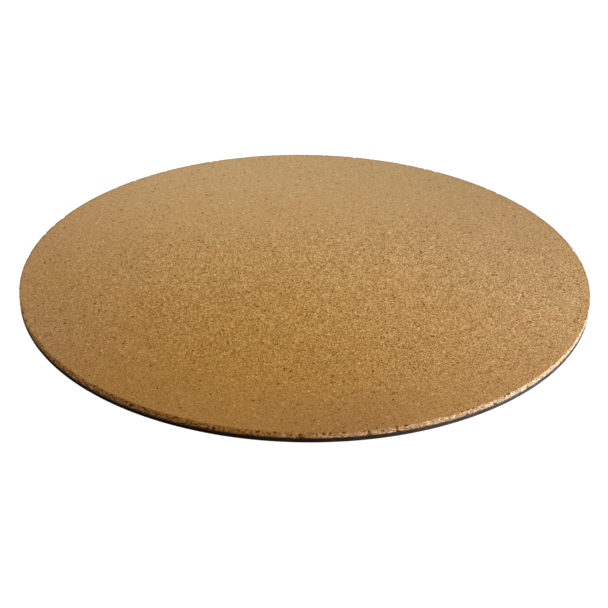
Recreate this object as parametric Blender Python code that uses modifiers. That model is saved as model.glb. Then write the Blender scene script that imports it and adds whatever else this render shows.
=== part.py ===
"""Round frameless cork bulletin board.

A disc cut from a laminated sheet: a thick face of agglomerated cork, a thin
film of bonding adhesive, and a dense black foam backing. The board lies on its
back at z = 0 with its pin face up. The origin is the centre of the back.
"""

import math

import bpy

# ---------------------------------------------------------------- dimensions
BOARD_DIAMETER = 0.300      # trimmed diameter of the laminate
BACKING_THICKNESS = 0.00205  # dense black foam sheet
FILM_THICKNESS = 0.00010    # cured adhesive film
CORK_THICKNESS = 0.00275    # agglomerated cork face
LAYER_GAP = 0.00005         # clearance kept on each side of the film

FILM_SETBACK = 0.00025      # the film stops just short of the trimmed edge
CORK_EDGE_ROUND = 0.00020   # the cutter softens the arris of the cork
BACKING_EDGE_ROUND = 0.00025  # and rolls the arris of the foam
RIM_SIDES = 256             # facets round the rim

BOARD_RADIUS = BOARD_DIAMETER / 2


# ------------------------------------------------------------------- helpers
def clear_scene():
    for obj in list(bpy.data.objects):
        bpy.data.objects.remove(obj, do_unlink=True)


def make_material(name, colour, roughness, metallic=0.0):
    material = bpy.data.materials.new(name)
    material.use_nodes = True
    shader = material.node_tree.nodes["Principled BSDF"]
    shader.inputs["Base Color"].default_value = (*colour, 1.0)
    shader.inputs["Roughness"].default_value = roughness
    shader.inputs["Metallic"].default_value = metallic
    material.diffuse_color = (*colour, 1.0)
    return material


def make_layer(name, radius, bottom, thickness, material, collection, parent, edge_round):
    """One round layer of the laminate, standing on z = bottom."""
    bpy.ops.mesh.primitive_cylinder_add(
        vertices=RIM_SIDES,
        radius=radius,
        depth=thickness,
        end_fill_type="NGON",
        location=(0.0, 0.0, bottom + thickness / 2),
    )
    layer = bpy.context.active_object
    layer.name = name
    layer.data.name = name
    layer.data.materials.append(material)
    for owner in list(layer.users_collection):
        owner.objects.unlink(layer)
    collection.objects.link(layer)
    layer.parent = parent
    if edge_round:
        bevel = layer.modifiers.new("edge_round", "BEVEL")
        bevel.width = edge_round
        bevel.segments = 2
        bevel.limit_method = "ANGLE"
        bevel.angle_limit = math.radians(45)
    layer.data.shade_smooth()
    layer.data.set_sharp_from_angle(angle=math.radians(30))
    return layer


# --------------------------------------------------------------------- model
def main():
    clear_scene()

    board = bpy.data.collections.new("cork_bulletin_board")
    bpy.context.scene.collection.children.link(board)

    centre = bpy.data.objects.new("board_centre", None)
    board.objects.link(centre)

    cork = make_material("cork", (0.44, 0.27, 0.12), 0.85)
    glue = make_material("bonding_adhesive", (0.10, 0.07, 0.04), 0.45)
    foam = make_material("black_foam", (0.016, 0.015, 0.014), 0.55)

    film_bottom = BACKING_THICKNESS + LAYER_GAP
    cork_bottom = film_bottom + FILM_THICKNESS + LAYER_GAP

    make_layer(
        "foam_backing", BOARD_RADIUS, 0.0, BACKING_THICKNESS,
        foam, board, centre, BACKING_EDGE_ROUND,
    )
    make_layer(
        "adhesive_film", BOARD_RADIUS - FILM_SETBACK, film_bottom, FILM_THICKNESS,
        glue, board, centre, 0.0,
    )
    make_layer(
        "cork_face", BOARD_RADIUS, cork_bottom, CORK_THICKNESS,
        cork, board, centre, CORK_EDGE_ROUND,
    )


main()
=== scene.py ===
"""Looks of the round cork bulletin board.

The board lies on its back on a pale studio floor, with its cork pin face up:
a sanded face of agglomerated cork with a crumbly cut edge, a thin dark glue
line, and a black closed-cell foam backing. Lengths are in metres. In the
materials, patterns are laid out in millimetres.
"""

import math

import bpy
import numpy as np
from mathutils import Matrix, Vector, kdtree
from mathutils.geometry import delaunay_2d_cdt


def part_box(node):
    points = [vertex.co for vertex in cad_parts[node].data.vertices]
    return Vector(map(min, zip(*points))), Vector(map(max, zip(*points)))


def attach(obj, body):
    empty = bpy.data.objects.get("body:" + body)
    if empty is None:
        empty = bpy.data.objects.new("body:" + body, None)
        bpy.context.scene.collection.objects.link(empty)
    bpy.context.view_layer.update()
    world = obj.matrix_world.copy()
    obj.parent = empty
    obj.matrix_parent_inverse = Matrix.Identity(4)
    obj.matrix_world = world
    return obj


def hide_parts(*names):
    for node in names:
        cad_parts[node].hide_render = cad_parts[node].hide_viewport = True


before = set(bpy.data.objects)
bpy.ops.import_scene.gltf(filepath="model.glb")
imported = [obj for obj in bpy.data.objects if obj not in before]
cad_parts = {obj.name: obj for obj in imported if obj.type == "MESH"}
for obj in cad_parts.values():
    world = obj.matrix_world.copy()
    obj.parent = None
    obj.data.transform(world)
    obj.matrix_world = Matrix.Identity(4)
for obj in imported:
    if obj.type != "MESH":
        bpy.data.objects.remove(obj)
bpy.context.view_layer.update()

MM = 0.001
TAU = 2.0 * math.pi

cork_low, cork_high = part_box("cork_face")
film_low, film_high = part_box("adhesive_film")
foam_low, foam_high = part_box("foam_backing")

RADIUS = cork_high.x
FILM_RADIUS = film_high.x
TOP_Z = cork_high.z


# ---------------------------------------------------------------- smooth noise
def lattice_noise(points, cell, seed):
    """Value noise in -1..1 at an (n, 3) array of points, smooth over cell metres."""
    p = np.asarray(points, float) / cell
    base = np.floor(p).astype(np.int64)
    frac = p - base
    frac = frac * frac * (3.0 - 2.0 * frac)
    total = np.zeros(len(p))
    for dx in (0, 1):
        for dy in (0, 1):
            for dz in (0, 1):
                k = (
                    (base[:, 0] + dx) * 73856093
                    ^ (base[:, 1] + dy) * 19349663
                    ^ (base[:, 2] + dz) * 83492791
                    ^ (seed * 2654435761)
                )
                k = (k ^ (k >> 13)) * 1274126177
                k = (k ^ (k >> 16)) & 0xFFFF
                w = (
                    (frac[:, 0] if dx else 1 - frac[:, 0])
                    * (frac[:, 1] if dy else 1 - frac[:, 1])
                    * (frac[:, 2] if dz else 1 - frac[:, 2])
                )
                total += w * (k / 32767.5 - 1.0)
    return total


def fractal(points, cell, seed, octaves=3):
    total, weight, norm = np.zeros(len(points)), 1.0, 0.0
    for o in range(octaves):
        total += weight * lattice_noise(points, cell / 2**o, seed + 101 * o)
        norm += weight
        weight *= 0.55
    return total / norm


def smoothstep(x, low, high):
    t = np.clip((x - low) / (high - low), 0.0, 1.0)
    return t * t * (3.0 - 2.0 * t)


# ------------------------------------------------------------------ disc sheet
def disc_layout(rim_radius, rim_count, fine, coarse, blend, rng):
    """Points of a disc, fine at its rim and coarse inside, rim ring first."""
    angles = np.arange(rim_count) * TAU / rim_count
    rings = [np.stack([rim_radius * np.cos(angles), rim_radius * np.sin(angles)], 1)]
    r, first = rim_radius, True
    while True:
        depth = rim_radius - r
        h = fine + (coarse - fine) * float(smoothstep(np.array(depth), 0.0, blend))
        r -= h * 0.87
        if r < 0.8 * h:
            break
        count = max(6, int(round(TAU * r / h)))
        a = (np.arange(count) + rng.random()) * TAU / count
        shake = 0.0 if first else 0.24 * h
        first = False
        rr = r + rng.uniform(-shake, shake, count)
        aa = a + rng.uniform(-shake, shake, count) / r
        rings.append(np.stack([rr * np.cos(aa), rr * np.sin(aa)], 1))
    rings.append(np.zeros((1, 2)))
    return np.concatenate(rings)


def triangulate(points):
    """Counter-clockwise triangles over all the points."""
    out = delaunay_2d_cdt([Vector(p) for p in points.tolist()], [], [], 0, 1e-9)
    verts, faces, origin = out[0], out[2], out[3]
    where = np.array([o[0] for o in origin])
    tris = where[np.array(faces)]
    a, b, c = (points[tris[:, i]] for i in range(3))
    turn = (b[:, 0] - a[:, 0]) * (c[:, 1] - a[:, 1]) - (b[:, 1] - a[:, 1]) * (c[:, 0] - a[:, 0])
    tris[turn < 0] = tris[turn < 0][:, ::-1]
    return tris[np.abs(turn) > 1e-14]


def sheet_mesh(profile, rim_count, top, bottom, rng, stagger=0.22):
    """A closed disc of sheet material. profile is the (radius, z) of each ring
    of its edge from the top arris to the bottom one. top and bottom are the
    (fine, coarse, blend) point spacings of its two faces.
    Returns vertices, triangles, and the edge ring (or -1) of each vertex."""
    up = disc_layout(profile[0][0], rim_count, *top, rng)
    down = disc_layout(profile[-1][0], rim_count, *bottom, rng)
    up_tris, down_tris = triangulate(up), triangulate(down)
    angles = np.arange(rim_count) * TAU / rim_count
    verts = [np.column_stack([up, np.full(len(up), profile[0][1])])]
    ring = [np.where(np.arange(len(up)) < rim_count, 0, -1)]
    starts, total = [0], len(up)
    for k, (r, z) in enumerate(profile[1:-1], 1):
        a = angles + rng.uniform(-stagger, stagger, rim_count) * TAU / rim_count
        verts.append(np.column_stack([r * np.cos(a), r * np.sin(a), np.full(rim_count, z)]))
        ring.append(np.full(rim_count, k))
        starts.append(total)
        total += rim_count
    starts.append(total)
    verts.append(np.column_stack([down, np.full(len(down), profile[-1][1])]))
    last = len(profile) - 1
    ring.append(np.where(np.arange(len(down)) < rim_count, last, -2))
    tris = [up_tris, down_tris[:, ::-1] + total]
    i = np.arange(rim_count)
    j = (i + 1) % rim_count
    for s, t in zip(starts, starts[1:]):
        flip = rng.random(rim_count) < 0.5
        a, b, c, d = s + i, s + j, t + j, t + i
        one = np.where(flip[:, None], np.stack([a, d, b], 1), np.stack([a, c, b], 1))
        two = np.where(flip[:, None], np.stack([b, d, c], 1), np.stack([a, d, c], 1))
        tris += [one, two]
    return np.concatenate(verts), np.concatenate(tris), np.concatenate(ring)


def make_object(name, verts, tris, attributes=None, smooth=True):
    mesh = bpy.data.meshes.new(name)
    mesh.vertices.add(len(verts))
    mesh.vertices.foreach_set("co", verts.astype(np.float32).ravel())
    mesh.loops.add(len(tris) * 3)
    mesh.loops.foreach_set("vertex_index", tris.astype(np.int32).ravel())
    mesh.polygons.add(len(tris))
    mesh.polygons.foreach_set("loop_start", np.arange(0, len(tris) * 3, 3, dtype=np.int32))
    mesh.update(calc_edges=True)
    mesh.validate()
    for key, values in (attributes or {}).items():
        data = mesh.attributes.new(key, "FLOAT", "POINT")
        data.data.foreach_set("value", values.astype(np.float32))
    mesh.polygons.foreach_set("use_smooth", np.full(len(mesh.polygons), smooth))
    obj = bpy.data.objects.new(name, mesh)
    bpy.context.scene.collection.objects.link(obj)
    return obj


def lay_out_uv(obj, rest, radius, z_low, z_high, strips=4):
    """A flat map with no overlaps: the top face as a disc, the cut edge as
    strips below it, and the bottom face as a small disc in a corner."""
    mesh = obj.data
    uv = mesh.uv_layers.new(name="OFBake")
    corners = np.empty(len(mesh.loops), np.int32)
    mesh.loops.foreach_get("vertex_index", corners)
    tri = corners.reshape(-1, 3)
    p = rest[tri]
    n = np.cross(p[:, 1] - p[:, 0], p[:, 2] - p[:, 0])
    n /= np.maximum(np.linalg.norm(n, axis=1), 1e-20)[:, None]
    out = np.zeros((len(tri), 3, 2))
    top, low = n[:, 2] > 0.72, n[:, 2] < -0.72
    side = ~(top | low)
    out[top] = np.array([0.5, 0.535]) + p[top][:, :, :2] * (0.455 / radius)
    out[low] = np.array([0.073, 0.925]) + p[low][:, :, :2] * np.array([1, -1]) * (0.062 / radius)
    a = np.arctan2(p[side][:, :, 1], p[side][:, :, 0]) % TAU
    a[(a.max(1) - a.min(1)) > math.pi] = np.where(
        a[(a.max(1) - a.min(1)) > math.pi] < math.pi,
        a[(a.max(1) - a.min(1)) > math.pi] + TAU,
        a[(a.max(1) - a.min(1)) > math.pi],
    )
    part = np.clip(np.floor(a.mean(1) / TAU * strips), 0, strips - 1)
    along = (a - part[:, None] * TAU / strips) / (TAU / strips)
    height = (p[side][:, :, 2] - z_low) / (z_high - z_low)
    out[side] = np.stack(
        [0.02 + 0.955 * along, 0.004 + part[:, None] * 0.0175 + 0.0125 * height], 2
    )
    uv.data.foreach_set("uv", out.astype(np.float32).ravel())


# ----------------------------------------------------------------- cork sheet
def scatter_granules(rng, pitch):
    """Centres of the cork granules in a band just inside the cut edge."""
    inner, outer = RADIUS - 4.2 * MM, RADIUS + 1.0 * MM
    low, high = cork_low.z - 0.9 * MM, cork_high.z + 0.9 * MM
    centres = []
    for k in range(int((high - low) / pitch) + 1):
        for m in range(int((outer - inner) / pitch) + 1):
            r = inner + (m + 0.5) * pitch
            count = int(TAU * r / pitch)
            a = (np.arange(count) + rng.random()) * TAU / count
            q = rng.uniform(-0.5, 0.5, (count, 3)) * pitch * 0.95
            rr, aa = r + q[:, 0], a + q[:, 1] / r
            z = low + (k + 0.5) * pitch + q[:, 2]
            centres.append(np.column_stack([rr * np.cos(aa), rr * np.sin(aa), z]))
    return np.concatenate(centres)


def make_cork():
    rng = np.random.default_rng(20)
    z0, z1 = cork_low.z, cork_high.z
    arris, foot = 0.13 * MM, 0.16 * MM
    rows = 8
    profile = [(RADIUS - arris, z1), (RADIUS - 0.29 * arris, z1 - 0.29 * arris)]
    profile += [(RADIUS, z) for z in np.linspace(z1 - arris, z0 + foot, rows + 1)]
    profile += [(RADIUS - 0.29 * foot, z0 + 0.29 * foot), (RADIUS - foot, z0)]
    rest, tris, ring = sheet_mesh(
        profile, 2048, (0.46 * MM, 1.19 * MM, 6.0 * MM), (0.5 * MM, 9.0 * MM, 30.0 * MM), rng
    )
    verts = rest.copy()
    r = np.hypot(rest[:, 0], rest[:, 1])
    out = np.column_stack([rest[:, 0] / np.maximum(r, 1e-9), rest[:, 1] / np.maximum(r, 1e-9)])
    is_top = (ring == -1) | (ring == 0)
    is_base = ring == -2
    top_ring = ring == 1
    pit_shade = np.zeros(len(rest))
    fleck = np.zeros(len(rest))

    # The granules that the cutter met.
    centres = scatter_granules(rng, 1.42 * MM)
    n = len(centres)
    tree = kdtree.KDTree(n)
    for i, c in enumerate(centres.tolist()):
        tree.insert(c, i)
    tree.balance()
    stand = rng.normal(0.0, 0.055, n) * MM
    depth = np.zeros(n)
    reach = np.hypot(centres[:, 0], centres[:, 1])
    from_top = z1 - centres[:, 2]
    from_base = centres[:, 2] - z0
    at_edge = reach > RADIUS - 1.1 * MM
    chance = np.where(at_edge, 0.075, 0.0)
    chance = np.where(at_edge & (from_top < 0.9 * MM), 0.20, chance)
    chance = np.where(at_edge & (from_base < 0.7 * MM), 0.13, chance)
    # Some stretches of the edge were cut less cleanly than others.
    wear = fractal(centres * np.array([1, 1, 0.2]), 26 * MM, 5)
    worn_side = 0.5 - 0.5 * np.cos(np.arctan2(centres[:, 1], centres[:, 0]) - math.radians(40.0))
    chance = chance * np.clip(0.42 + 0.75 * worn_side + 1.1 * wear, 0.10, 2.2)
    torn = rng.random(n) < chance
    depth[torn] = rng.uniform(0.22, 0.62, torn.sum()) * MM
    tone = rng.random(n)

    near = (r > RADIUS - 3.6 * MM) & ~is_base
    index = np.nonzero(near)[0]
    warp = np.column_stack([lattice_noise(rest[index], 1.1 * MM, s) for s in (31, 32, 33)])
    probe = rest[index] + warp * 0.28 * MM
    first = np.empty(len(index), np.int64)
    gap = np.empty(len(index))
    for k, p in enumerate(probe.tolist()):
        (_, i, a), (_, _, b) = tree.find_n(p, 2)
        first[k], gap[k] = i, b - a
    body = smoothstep(gap, 0.0, 0.34 * MM)
    missing = depth[first] * body
    seam = (1.0 - body) * 0.075 * MM

    # How far each vertex belongs to the cut edge, to the arris, or to the face.
    edge_share = smoothstep(r[index], RADIUS - 1.3 * MM, RADIUS - 0.05 * MM)
    wall = ~is_top[index]
    inward = np.where(
        wall,
        seam + missing - np.clip(stand[first], -0.12 * MM, 0.06 * MM) * body + 0.02 * MM,
        (0.5 * missing + 0.3 * seam) * edge_share,
    )
    rounding = 0.035 * MM * smoothstep(r[index], RADIUS - 1.0 * MM, RADIUS - 0.1 * MM)
    down = np.where(
        wall,
        0.0,
        rounding + (0.85 * missing + 0.5 * seam) * edge_share + 0.25 * seam,
    )
    top_arris = np.isin(ring[index], (1, 2))
    down = np.where(top_arris, 0.7 * missing + rounding * 0.8, down)
    wave = fractal(rest[index] * np.array([1, 1, 0.3]), 9 * MM, 61) * 0.07 * MM
    inward = inward + np.where(wall | (edge_share > 0.5), wave, 0.0) + 0.01 * MM
    inward = np.where(wall | (ring[index] == 0), inward, inward * edge_share)
    inward = np.maximum(inward, 0.0)
    verts[index, 0] -= out[index, 0] * inward
    verts[index, 1] -= out[index, 1] * inward
    verts[index, 2] -= down
    # The hollows, which the material also draws darker as painted shade.
    pit_shade[index] = np.clip(
        smoothstep(missing, 0.08 * MM, 0.4 * MM) * np.where(wall, 1.0, edge_share)
        + 0.55 * (1 - body) * np.where(wall, 1.0, 0.5 * edge_share),
        0.0,
        1.0,
    )
    fleck[index] = np.where(wall | (edge_share > 0.6), smoothstep(tone[first], 0.72, 0.98) * body * (missing < 0.05 * MM), 0.0)

    # The sanded face is not quite flat, and has pores where grains fell out, drawn darker as painted shade.
    face = np.nonzero(ring == -1)[0]
    soft = smoothstep(RADIUS - r[face], 0.2 * MM, 3.0 * MM)
    verts[face, 2] += soft * (
        fractal(rest[face], 5.5 * MM, 71) * 0.028 * MM - 0.028 * MM
        + lattice_noise(rest[face], 1.9 * MM, 77) * 0.016 * MM
        + rng.normal(0.0, 0.008, len(face)) * MM
    )
    inside = face[RADIUS - r[face] > 2.0 * MM]
    pores = rng.choice(inside, 620, replace=False)
    size = rng.beta(1.3, 3.0, len(pores))
    verts[pores, 2] -= (0.05 + 0.16 * size) * MM
    pit_shade[pores] = 0.30 + 0.70 * size
    pale = rng.choice(np.setdiff1d(inside, pores), 900, replace=False)
    fleck[pale] = rng.beta(1.2, 2.4, len(pale))
    verts[pale, 2] += 0.012 * MM
    verts[:, 2] = np.minimum(verts[:, 2], z1)

    cut = np.where(ring >= 1, 1.0, 0.0)
    cut[ring == -1] = 0.0
    cut[ring == 0] = 0.0
    cut[ring == 1] = 0.35
    cut[is_base] = 0.6
    # Painted shade darkens the top arris, all but a stretch on the right and one on the left.
    azimuth = np.degrees(np.arctan2(rest[:, 1], rest[:, 0]))
    arris_shade = 1.0 - smoothstep(azimuth, -122.0, -80.0) * (1.0 - smoothstep(azimuth, -6.0, 22.0))
    arris_shade = arris_shade * smoothstep(np.abs((azimuth + 340.0) % 360.0 - 180.0), 8.0, 38.0)
    band = smoothstep(r, RADIUS - 1.25 * MM, RADIUS - 0.45 * MM) * np.where(is_top | top_ring, 1.0, 0.0)
    pit_shade = np.maximum(pit_shade, (0.02 + 0.52 * arris_shade) * band)
    obj = make_object("cork_face_detail", verts, tris, {"cut": cut, "pit_shade": pit_shade, "fleck": fleck})
    lay_out_uv(obj, rest, RADIUS, z0, z1)
    return obj


# ------------------------------------------------------------------- glue line
def make_film():
    rng = np.random.default_rng(7)
    z0, z1 = foam_high.z + 0.012 * MM, cork_low.z - 0.004 * MM
    mid, half = (z0 + z1) / 2, (z1 - z0) / 2
    profile = []
    for a in np.linspace(90, -90, 7):
        s = math.sin(math.radians(a))
        c = math.cos(math.radians(a))
        profile.append((FILM_RADIUS - 0.05 * MM + 0.10 * MM * c, mid + half * s))
    rest, tris, ring = sheet_mesh(
        profile, 1024, (0.9 * MM, 10 * MM, 30 * MM), (0.9 * MM, 10 * MM, 30 * MM), rng
    )
    verts = rest.copy()
    edge = ring >= 0
    r = np.hypot(rest[:, 0], rest[:, 1])
    ooze = fractal(rest * np.array([1, 1, 0]), 3.2 * MM, 3) * 0.11 + np.clip(
        fractal(rest * np.array([1, 1, 0]), 14 * MM, 9), 0, 1
    ) * 0.12
    scale = 1 + np.where(edge, np.clip(ooze, -0.16, 0.14) * MM / np.maximum(r, 1e-6), 0)
    verts[:, 0] *= scale
    verts[:, 1] *= scale
    obj = make_object("adhesive_film_detail", verts, tris)
    lay_out_uv(obj, rest, RADIUS, z0, z1)
    return obj


# ---------------------------------------------------------------- foam backing
def make_foam():
    rng = np.random.default_rng(11)
    z0, z1 = foam_low.z, foam_high.z
    top_round, base_round = 0.14 * MM, 0.30 * MM
    profile = []
    for a in np.linspace(90, 0, 4):
        t = math.radians(a)
        profile.append((RADIUS - top_round * (1 - math.cos(t)), z1 - top_round * (1 - math.sin(t))))
    for z in np.linspace(z1 - top_round, z0 + base_round, 6)[1:-1]:
        profile.append((RADIUS, z))
    for a in np.linspace(0, -90, 6):
        t = math.radians(a)
        profile.append((RADIUS - base_round * (1 - math.cos(t)), z0 + base_round * (1 + math.sin(t))))
    rest, tris, ring = sheet_mesh(
        profile, 1440, (0.65 * MM, 12 * MM, 40 * MM), (0.65 * MM, 2.6 * MM, 8 * MM), rng
    )
    verts = rest.copy()
    r = np.hypot(rest[:, 0], rest[:, 1])
    ux, uy = rest[:, 0] / np.maximum(r, 1e-9), rest[:, 1] / np.maximum(r, 1e-9)
    edge = ring >= 0
    # The blade leaves fine drag marks and draws the edge in a little at mid height.
    h = (rest[:, 2] - z0) / (z1 - z0)
    draw = 0.05 * MM * np.sin(np.clip(h, 0, 1) * math.pi)
    drag = (lattice_noise(rest * np.array([1, 1, 0.25]), 1.3 * MM, 4) * 0.018
            + fractal(rest * np.array([1, 1, 0.3]), 12 * MM, 8) * 0.05) * MM
    inward = np.where(edge, draw + drag + 0.05 * MM, 0.0)
    verts[:, 0] -= ux * inward
    verts[:, 1] -= uy * inward
    under = ring == -2
    verts[under, 2] += (0.5 + 0.5 * fractal(rest[under], 7 * MM, 14)) * 0.03 * MM * smoothstep(
        RADIUS - r[under], 0.0, 3 * MM
    )
    verts[:, 2] = np.clip(verts[:, 2], z0, z1)
    obj = make_object("foam_backing_detail", verts, tris)
    lay_out_uv(obj, rest, RADIUS, z0, z1)
    return obj


# ------------------------------------------------------------------- materials
class Tree:
    """A short hand for building a material's node tree."""

    def __init__(self, name):
        self.material = bpy.data.materials.new(name)
        self.material.use_nodes = True
        self.tree = self.material.node_tree
        self.tree.nodes.clear()
        self.output = self.add("ShaderNodeOutputMaterial")
        self.shader = self.add("ShaderNodeBsdfPrincipled")
        self.link(self.shader.outputs[0], self.output.inputs["Surface"])

    def add(self, kind, **props):
        node = self.tree.nodes.new(kind)
        for key, value in props.items():
            setattr(node, key, value)
        return node

    def link(self, source, socket):
        self.tree.links.new(source, socket)

    def put(self, socket, value):
        if isinstance(value, bpy.types.NodeSocket):
            self.link(value, socket)
        elif isinstance(value, (tuple, list)) and len(socket.default_value) == 4 and len(value) == 3:
            socket.default_value = (*value, 1.0)
        else:
            socket.default_value = value

    def math(self, operation, a, b=0.0, clamp=False):
        node = self.add("ShaderNodeMath", operation=operation, use_clamp=clamp)
        self.put(node.inputs[0], a)
        self.put(node.inputs[1], b)
        return node.outputs[0]

    def vector(self, operation, a, b=None, scale=None):
        node = self.add("ShaderNodeVectorMath", operation=operation)
        self.put(node.inputs[0], a)
        if b is not None:
            self.put(node.inputs[1], b)
        if scale is not None:
            self.put(node.inputs["Scale"], scale)
        return node.outputs[0]

    def length(self, vector):
        node = self.add("ShaderNodeVectorMath", operation="LENGTH")
        self.put(node.inputs[0], vector)
        return node.outputs["Value"]

    def span(self, value, low, high, to_low=0.0, to_high=1.0, smooth=True):
        node = self.add("ShaderNodeMapRange", interpolation_type="SMOOTHSTEP" if smooth else "LINEAR")
        self.put(node.inputs[0], value)
        for k, v in enumerate((low, high, to_low, to_high), 1):
            self.put(node.inputs[k], v)
        return node.outputs[0]

    def mix(self, factor, a, b, blend="MIX"):
        node = self.add("ShaderNodeMix", data_type="RGBA", blend_type=blend)
        self.put(node.inputs[0], factor)
        self.put(node.inputs[6], a)
        self.put(node.inputs[7], b)
        return node.outputs[2]

    def blend(self, factor, a, b):
        node = self.add("ShaderNodeMix", data_type="FLOAT")
        self.put(node.inputs[0], factor)
        self.put(node.inputs[2], a)
        self.put(node.inputs[3], b)
        return node.outputs[0]

    def ramp(self, value, stops):
        node = self.add("ShaderNodeValToRGB")
        self.put(node.inputs[0], value)
        points = node.color_ramp.elements
        while len(points) < len(stops):
            points.new(0.5)
        for point, (at, colour) in zip(points, stops):
            point.position = at
            point.color = (*colour, 1.0)
        return node.outputs[0]

    def noise(self, vector, scale, detail=2.0, roughness=0.5, output="Factor"):
        node = self.add("ShaderNodeTexNoise")
        self.put(node.inputs["Vector"], vector)
        node.inputs["Scale"].default_value = scale
        node.inputs["Detail"].default_value = detail
        node.inputs["Roughness"].default_value = roughness
        return node.outputs[1 if output == "Color" else 0]

    def voronoi(self, vector, scale, feature="F1", randomness=1.0):
        node = self.add("ShaderNodeTexVoronoi", feature=feature)
        self.put(node.inputs["Vector"], vector)
        node.inputs["Scale"].default_value = scale
        node.inputs["Randomness"].default_value = randomness
        return node

    def channel(self, colour, k):
        node = self.add("ShaderNodeSeparateColor")
        self.put(node.inputs[0], colour)
        return node.outputs[k]

    def attribute(self, name):
        return self.add("ShaderNodeAttribute", attribute_name=name).outputs["Fac"]

    def scaled(self, colour, factor):
        """A colour times a number."""
        node = self.add("ShaderNodeVectorMath", operation="SCALE")
        self.put(node.inputs[0], colour)
        self.put(node.inputs["Scale"], factor)
        return node.outputs[0]

    def place(self):
        """The piece's own coordinates, in millimetres."""
        return self.vector("SCALE", self.add("ShaderNodeTexCoord").outputs["Object"], scale=1000.0)


# Colour of the sanded face and of the cut edge, from the darkest grain to the palest.
FACE_RAMP = (
    (0.00, (0.082, 0.021, 0.000)),
    (0.25, (0.225, 0.088, 0.003)),
    (0.50, (0.391, 0.192, 0.018)),
    (0.75, (0.567, 0.328, 0.080)),
    (1.00, (0.752, 0.487, 0.197)),
)
# The cut edge's ramp is paler and greyer than the face's: partly the fresh cut, partly a painted highlight for
# the lit side of the edge.
EDGE_RAMP = (
    (0.00, (0.123, 0.042, 0.007)),
    (0.25, (0.302, 0.158, 0.046)),
    (0.50, (0.512, 0.334, 0.139)),
    (0.75, (0.662, 0.497, 0.270)),
    (1.00, (0.783, 0.677, 0.468)),
)


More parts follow.
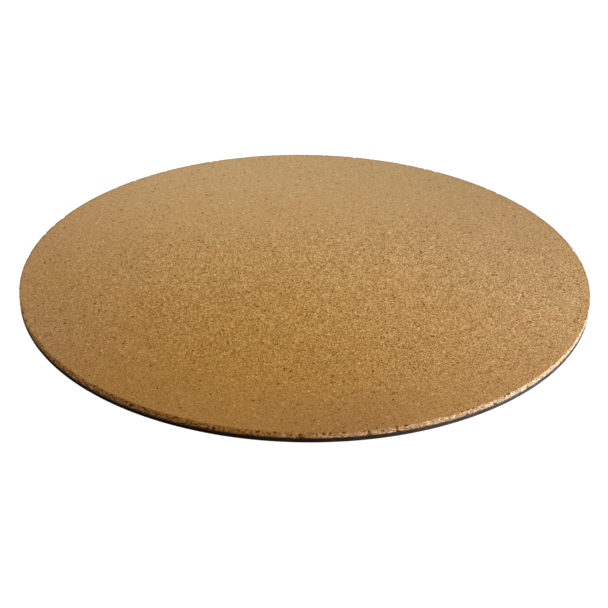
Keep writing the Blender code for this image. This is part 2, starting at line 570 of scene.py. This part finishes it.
def cork_material():
    t = Tree("agglomerated_cork")
    place = t.place()
    cut, pit_shade, fleck = (t.attribute(n) for n in ("cut", "pit_shade", "fleck"))
    drift = t.vector("SUBTRACT", t.noise(place, 0.9, 2.0, 0.55, "Color"), (0.5, 0.5, 0.5))
    bent = t.vector("ADD", place, t.vector("SCALE", drift, scale=0.55))

    # Granules of three sizes. A coarse cell stays whole or is filled with finer ones.
    coarse, middle, fine = (t.voronoi(bent, s) for s in (0.55, 1.10, 2.20))
    whole = t.math("LESS_THAN", t.channel(coarse.outputs["Color"], 0), 0.22)
    tone = t.blend(whole, t.channel(middle.outputs["Color"], 1), t.channel(coarse.outputs["Color"], 1))
    small = t.channel(fine.outputs["Color"], 1)
    middle_rim = t.voronoi(bent, 1.10, "DISTANCE_TO_EDGE").outputs["Distance"]
    seam = t.span(middle_rim, 0.015, 0.11, 1.0, 0.0)
    seam = t.math("MULTIPLY", seam, t.blend(whole, 1.0, 0.3))
    grain = t.noise(place, 4.2, 2.0, 0.6)

    # Where each point lies between the darkest grain and the palest.
    shade = t.span(tone, 0.0, 1.0, 0.5 - GRANULE, 0.5 + GRANULE, False)
    shade = t.math("ADD", shade, t.span(small, 0.0, 1.0, -GRIT, GRIT, False))
    shade = t.math("ADD", shade, t.span(grain, 0.25, 0.75, -GRAIN, GRAIN, False))
    shade = t.math("SUBTRACT", shade, t.math("MULTIPLY", seam, SEAM))
    shade = t.math("ADD", shade, t.span(t.noise(place, 0.060, 2.0, 0.5), 0.3, 0.7, -0.014, 0.014, False))

    # Dark specks of bark, and pale ones of dense cork.
    for offset, scale, threshold, low, high, strength in (
        ((17.3, 4.1, 9.7), 0.36, 0.82, 0.09, 0.24, -0.95),
        ((3.3, 8.1, 2.7), 1.05, 0.78, 0.14, 0.42, -0.36),
        ((-31.0, 12.9, 5.5), 0.42, 0.82, 0.11, 0.26, 0.62),
        ((-11.0, 2.9, 15.5), 1.20, 0.80, 0.14, 0.44, 0.30),
    ):
        cell = t.voronoi(t.vector("ADD", bent, offset), scale)
        chosen = t.span(t.channel(cell.outputs["Color"], 0), threshold, threshold + 0.12)
        spot = t.span(cell.outputs["Distance"], low, high, 1.0, 0.0)
        shade = t.math("ADD", shade, t.math("MULTIPLY", t.math("MULTIPLY", chosen, spot), strength))

    # The cut edge is cruder, with whole pale grains, and hollows drawn darker as painted shade.
    # The grain of the face is crispest in the middle and duller towards the rim.
    out = t.vector("MULTIPLY", t.vector("SUBTRACT", place, (35.0, -30.0, 5.0)), (0.68, 1.3, 0.0))
    contrast = t.blend(cut, t.span(t.length(out), 40.0, 165.0, 1.21, 0.42), 0.85)
    shade = t.math("ADD", t.math("MULTIPLY", t.math("SUBTRACT", shade, 0.5), contrast), 0.5)
    shade = t.math("ADD", shade, t.math("MULTIPLY", fleck, 0.30))
    shade = t.math("SUBTRACT", shade, t.math("MULTIPLY", pit_shade, 0.42), True)
    face, edge = t.ramp(shade, FACE_RAMP), t.ramp(shade, EDGE_RAMP)
    # Painted light and shade on the edge: warmer and more saturated at the near front and darker towards its
    # foot there, lighter just right of it, and paler and bluer on the right front.
    along = t.length(t.vector("SUBTRACT", place, (-36.3, -145.5, 3.6)))
    painted_shade_front = t.span(along, 15.0, 75.0, 1.0, 0.0)
    painted_light_front = t.span(t.length(t.vector("SUBTRACT", place, (26.0, -147.7, 3.6))), 5.0, 45.0, 1.0, 0.0)
    right = t.span(t.length(t.vector("SUBTRACT", place, (118.2, -92.3, 3.6))), 35.0, 80.0, 1.0, 0.0)
    # Painted shade: the edge darker towards its foot along the front.
    foot = t.span(t.channel(place, 2), 2.4, 3.2, 0.50, 1.0)
    edge = t.scaled(edge, t.blend(t.span(along, 45.0, 95.0, 1.0, 0.0), 1.0, foot))
    edge = t.mix(1.0, edge, t.mix(painted_light_front, (1.0, 1.0, 1.0), (1.12, 1.09, 1.02)), "MULTIPLY")
    edge = t.mix(1.0, edge, t.mix(painted_shade_front, (1.0, 1.0, 1.0), (1.10, 0.92, 0.57)), "MULTIPLY")
    # Painted light: the right front of the edge paler and bluer.
    edge = t.mix(1.0, edge, t.mix(right, (1.0, 1.0, 1.0), (0.96, 1.01, 1.25)), "MULTIPLY")
    colour = t.mix(cut, face, edge)

    # Slow drifts of hue, as some batches of granules are redder than others.
    hue = t.span(t.noise(place, 0.11, 3.0, 0.6), 0.32, 0.68)
    colour = t.mix(1.0, colour, t.mix(hue, (1.018, 0.985, 0.955), (0.982, 1.012, 1.02)), "MULTIPLY")
    # Painted sheen: the face is mixed towards pale grey, more and more away from its near left part.
    away = t.length(t.vector("MULTIPLY", t.vector("SUBTRACT", place, (-27.8, -75.8, 5.0)), (1.0, 1.0, 0.0)))
    patch = t.span(t.noise(place, 0.35, 3.0, 0.6), 0.3, 0.7, 0.85, 1.15, False)
    painted_sheen = t.math("MULTIPLY", t.span(away, 2.8, 212.7, 0.0, 0.195), patch)
    # Painted sheen, a little more near the left rim.
    left = t.span(t.length(t.vector("SUBTRACT", place, (-134.0, -77.0, 5.0))), 0.0, 62.0, 0.055, 0.0)
    painted_sheen = t.math("ADD", painted_sheen, left)
    painted_sheen = t.math("MULTIPLY", painted_sheen, t.math("SUBTRACT", 1.0, cut))
    colour = t.mix(painted_sheen, colour, t.scaled((0.80, 0.76, 0.74), shade))
    # Painted shade darkens the face a little at the near edge.
    painted_shade_near = t.span(t.length(t.vector("SUBTRACT", place, (20.0, -160.0, 5.0))), 5.0, 60.0, 1.0, 0.0)
    painted_shade_near = t.math("MULTIPLY", painted_shade_near, t.math("SUBTRACT", 1.0, cut))
    colour = t.mix(1.0, colour, t.mix(painted_shade_near, (1.0, 1.0, 1.0), (0.885, 0.86, 0.89)), "MULTIPLY")
    # Painted shade: pits, pores and the arris band are drawn darker.
    colour = t.mix(t.math("MULTIPLY", pit_shade, 0.35), colour, (0.060, 0.018, 0.006))

    s = t.shader
    t.put(s.inputs["Base Color"], colour)
    rough = t.span(t.noise(place, 1.4, 2.0), 0.3, 0.7, 0.60, 0.72)
    t.put(s.inputs["Roughness"], t.math("ADD", rough, t.math("MULTIPLY", seam, 0.08), True))
    t.put(s.inputs["Specular IOR Level"], t.span(shade, 0.0, 1.0, 0.0, 0.6, False))
    s.inputs["IOR"].default_value = 1.45

    height = t.math("SUBTRACT", t.math("MULTIPLY", grain, 0.35), t.math("MULTIPLY", seam, 0.45))
    height = t.math("ADD", height, t.math("MULTIPLY", tone, 0.22))
    height = t.math("SUBTRACT", height, t.math("MULTIPLY", pit_shade, 0.5))
    bump = t.add("ShaderNodeBump")
    bump.inputs["Strength"].default_value = 0.40
    bump.inputs["Distance"].default_value = 0.00016
    t.put(bump.inputs["Height"], height)
    t.put(s.inputs["Normal"], bump.outputs[0])
    return t.material


GRANULE, GRIT, GRAIN, SEAM = 0.058, 0.27, 0.36, 0.06


def glue_material():
    t = Tree("bonding_adhesive")
    place = t.place()
    patch = t.noise(place, 0.8, 3.0, 0.6)
    colour = t.mix(t.span(patch, 0.35, 0.65), (0.030, 0.019, 0.010), (0.075, 0.046, 0.022))
    t.put(t.shader.inputs["Base Color"], colour)
    t.put(t.shader.inputs["Roughness"], t.span(patch, 0.3, 0.7, 0.42, 0.62))
    t.shader.inputs["Specular IOR Level"].default_value = 0.3
    bump = t.add("ShaderNodeBump")
    bump.inputs["Strength"].default_value = 0.4
    bump.inputs["Distance"].default_value = 0.00008
    t.put(bump.inputs["Height"], t.noise(place, 2.2, 2.0))
    t.put(t.shader.inputs["Normal"], bump.outputs[0])
    return t.material


def foam_material():
    t = Tree("black_foam")
    place = t.place()
    cells = t.voronoi(place, 3.4)
    bubble = t.span(cells.outputs["Distance"], 0.1, 0.55, 1.0, 0.0)
    cloud = t.noise(place, 0.11, 3.0, 0.55)
    colour = t.mix(t.span(cloud, 0.3, 0.7), (0.0062, 0.0038, 0.0018), (0.0095, 0.0062, 0.0034))
    # Painted shade: the bubble hollows are drawn a little darker.
    colour = t.mix(t.math("MULTIPLY", bubble, 0.35), colour, (0.0050, 0.0040, 0.0030))
    dust = t.voronoi(t.vector("ADD", place, (3.0, 7.0, 1.0)), 0.45)
    speck = t.math("MULTIPLY", t.span(t.channel(dust.outputs["Color"], 0), 0.9, 1.0), t.span(dust.outputs["Distance"], 0.06, 0.16, 1.0, 0.0))
    colour = t.mix(t.math("MULTIPLY", speck, 0.35), colour, (0.20, 0.12, 0.06))
    t.put(t.shader.inputs["Base Color"], colour)
    t.put(t.shader.inputs["Roughness"], t.math("ADD", t.span(cloud, 0.3, 0.7, 0.40, 0.48), t.math("MULTIPLY", bubble, 0.12), True))
    t.shader.inputs["IOR"].default_value = 1.56
    t.shader.inputs["Specular IOR Level"].default_value = 1.0
    t.shader.inputs["Specular Tint"].default_value = (1.0, 0.79, 0.62, 1.0)
    bump = t.add("ShaderNodeBump")
    bump.inputs["Strength"].default_value = 0.5
    bump.inputs["Distance"].default_value = 0.00005
    t.put(bump.inputs["Height"], t.math("SUBTRACT", t.math("MULTIPLY", t.noise(place, 5.0, 3.0), 0.5), bubble))
    t.put(t.shader.inputs["Normal"], bump.outputs[0])
    return t.material


# ---------------------------------------------------------------------- pieces
cork, film, foam = make_cork(), make_film(), make_foam()
for piece, node, slot, material in (
    (cork, "cork_face", "agglomerated_cork", cork_material()),
    (film, "adhesive_film", "bonding_adhesive", glue_material()),
    (foam, "foam_backing", "black_foam", foam_material()),
):
    piece.data.materials.append(material)
    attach(piece, "root")
    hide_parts(node)


# ----------------------------------------------------------------------- stage
def make_floor():
    a = np.arange(96) * TAU / 96
    verts = np.concatenate([[[0, 0, 0]], np.column_stack([12 * np.cos(a), 12 * np.sin(a), np.zeros(96)])])
    verts[:, 2] = -0.00002
    i = np.arange(96)
    tris = np.stack([np.zeros(96, int), 1 + i, 1 + (i + 1) % 96], 1)
    floor = make_object("studio_floor", verts, tris, smooth=False)
    t = Tree("floor_white")
    t.shader.inputs["Base Color"].default_value = (0.08, 0.08, 0.08, 1)
    t.shader.inputs["Roughness"].default_value = 0.9
    t.shader.inputs["Specular IOR Level"].default_value = 0.0
    t.shader.inputs["Emission Color"].default_value = (1, 1, 1, 1)
    t.shader.inputs["Emission Strength"].default_value = 1.0
    floor.data.materials.append(t.material)
    floor.visible_diffuse = False
    floor.visible_glossy = False


make_floor()


def toward(azimuth, elevation):
    """The direction at that azimuth and elevation, in degrees from +X."""
    a, e = math.radians(azimuth), math.radians(elevation)
    return Vector((math.cos(a) * math.cos(e), math.sin(a) * math.cos(e), math.sin(e)))


def add_lamp(name, kind, place, aim, power, colour):
    data = bpy.data.lights.new(name, kind)
    data.energy, data.color = power, colour
    lamp = bpy.data.objects.new(name, data)
    lamp.location = place
    lamp.rotation_euler = (place - aim).to_track_quat("Z", "Y").to_euler()
    lamp.visible_camera = False
    bpy.context.scene.collection.objects.link(lamp)
    return data


def softbox(name, azimuth, elevation, distance, width, height, power, colour):
    """A soft panel that faces the middle of the board."""
    place = toward(azimuth, elevation) * distance
    data = add_lamp(name, "AREA", place, Vector((0, 0, 0)), power, colour)
    data.shape, data.size, data.size_y = "RECTANGLE", width, height


def pool(name, azimuth, elevation, distance, aim_x, aim_y, radius, power, colour):
    """A soft-edged pool of light of that radius on the board."""
    aim = Vector((aim_x, aim_y, 0))
    place = toward(azimuth, elevation) * distance
    data = add_lamp(name, "SPOT", place, aim, power, colour)
    data.spot_size = 2.0 * math.atan(radius / (place - aim).length)
    data.spot_blend = 1.0
    data.shadow_soft_size = 0.12


softbox("strip_back", 90, 9, 0.8, 0.70, 0.06, 1.82, (0.83, 1.00, 0.89))
softbox("strip_back_left", 120, 9, 0.8, 0.70, 0.06, 0.25, (0.95, 0.97, 1.00))
softbox("strip_back_right", 60, 9, 1.3, 1.0, 0.10, 0.74, (0.99, 1.00, 0.97))
softbox("key_right", -30, 5, 1.3, 1.0, 0.10, 18.20, (1.00, 0.82, 0.87))
softbox("key_far_right", 0, 5, 1.3, 1.0, 0.10, 41.50, (0.61, 0.80, 1.00))
softbox("fill_left", 190, 45, 2.3, 1.6, 1.2, 38.00, (1.00, 0.77, 0.57))
pool("pool_near", 20, 60, 2.0, 0.15, -0.05, 0.18, 101.50, (0.99, 1.00, 0.88))
pool("pool_far", 60, 70, 2.0, -0.05, 0.12, 0.22, 94.00, (0.85, 1.00, 0.98))

world = bpy.data.worlds.new("studio")
bpy.context.scene.world = world
world.use_nodes = True
wt = world.node_tree
wt.nodes.clear()
seen = wt.nodes.new("ShaderNodeBackground")
seen.inputs[0].default_value = (1, 1, 1, 1)
seen.inputs[1].default_value = 1.0
glow = wt.nodes.new("ShaderNodeBackground")
glow.inputs[0].default_value = (1.0, 1.0, 1.0, 1)
glow.inputs[1].default_value = 0.003
path = wt.nodes.new("ShaderNodeLightPath")
both = wt.nodes.new("ShaderNodeMixShader")
out = wt.nodes.new("ShaderNodeOutputWorld")
wt.links.new(path.outputs["Is Camera Ray"], both.inputs[0])
wt.links.new(glow.outputs[0], both.inputs[1])
wt.links.new(seen.outputs[0], both.inputs[2])
wt.links.new(both.outputs[0], out.inputs["Surface"])

bpy.context.scene.view_settings.view_transform = "Standard"


# ---------------------------------------------------------------------- camera
def make_camera(elevation, distance, roll, pan, tilt, field):
    """Stands off the middle of the pin face by distance radii, nearly centred on it."""
    e = math.radians(elevation)
    place = np.array([0.0, -distance * math.cos(e), distance * math.sin(e)])
    ahead = -place / np.linalg.norm(place)
    right = np.array([1.0, 0.0, 0.0])
    up = np.cross(right, ahead)
    base = np.stack([right, -up, ahead])
    cp, sp = math.cos(math.radians(pan)), math.sin(math.radians(pan))
    ct, st = math.cos(math.radians(tilt)), math.sin(math.radians(tilt))
    cr, sr = math.cos(math.radians(roll)), math.sin(math.radians(roll))
    turn = (
        np.array([[cr, -sr, 0], [sr, cr, 0], [0, 0, 1]])
        @ np.array([[1, 0, 0], [0, ct, -st], [0, st, ct]])
        @ np.array([[cp, 0, -sp], [0, 1, 0], [sp, 0, cp]])
        @ base
    )
    data = bpy.data.cameras.new("camera")
    data.sensor_width = 36.0
    data.lens = 18.0 / math.tan(math.radians(field) / 2)
    data.clip_start, data.clip_end = 0.01, 60.0
    camera = bpy.data.objects.new("camera", data)
    m = Matrix.Identity(4)
    for k, row in enumerate((turn[0], -turn[1], -turn[2])):
        for i in range(3):
            m[i][k] = row[i]
    for i in range(3):
        m[i][3] = place[i] * RADIUS
    m[2][3] += TOP_Z
    camera.matrix_world = m
    bpy.context.scene.collection.objects.link(camera)
    bpy.context.scene.camera = camera


make_camera(28.70, 4.880, 0.70, -0.021, 1.445, 24.99)
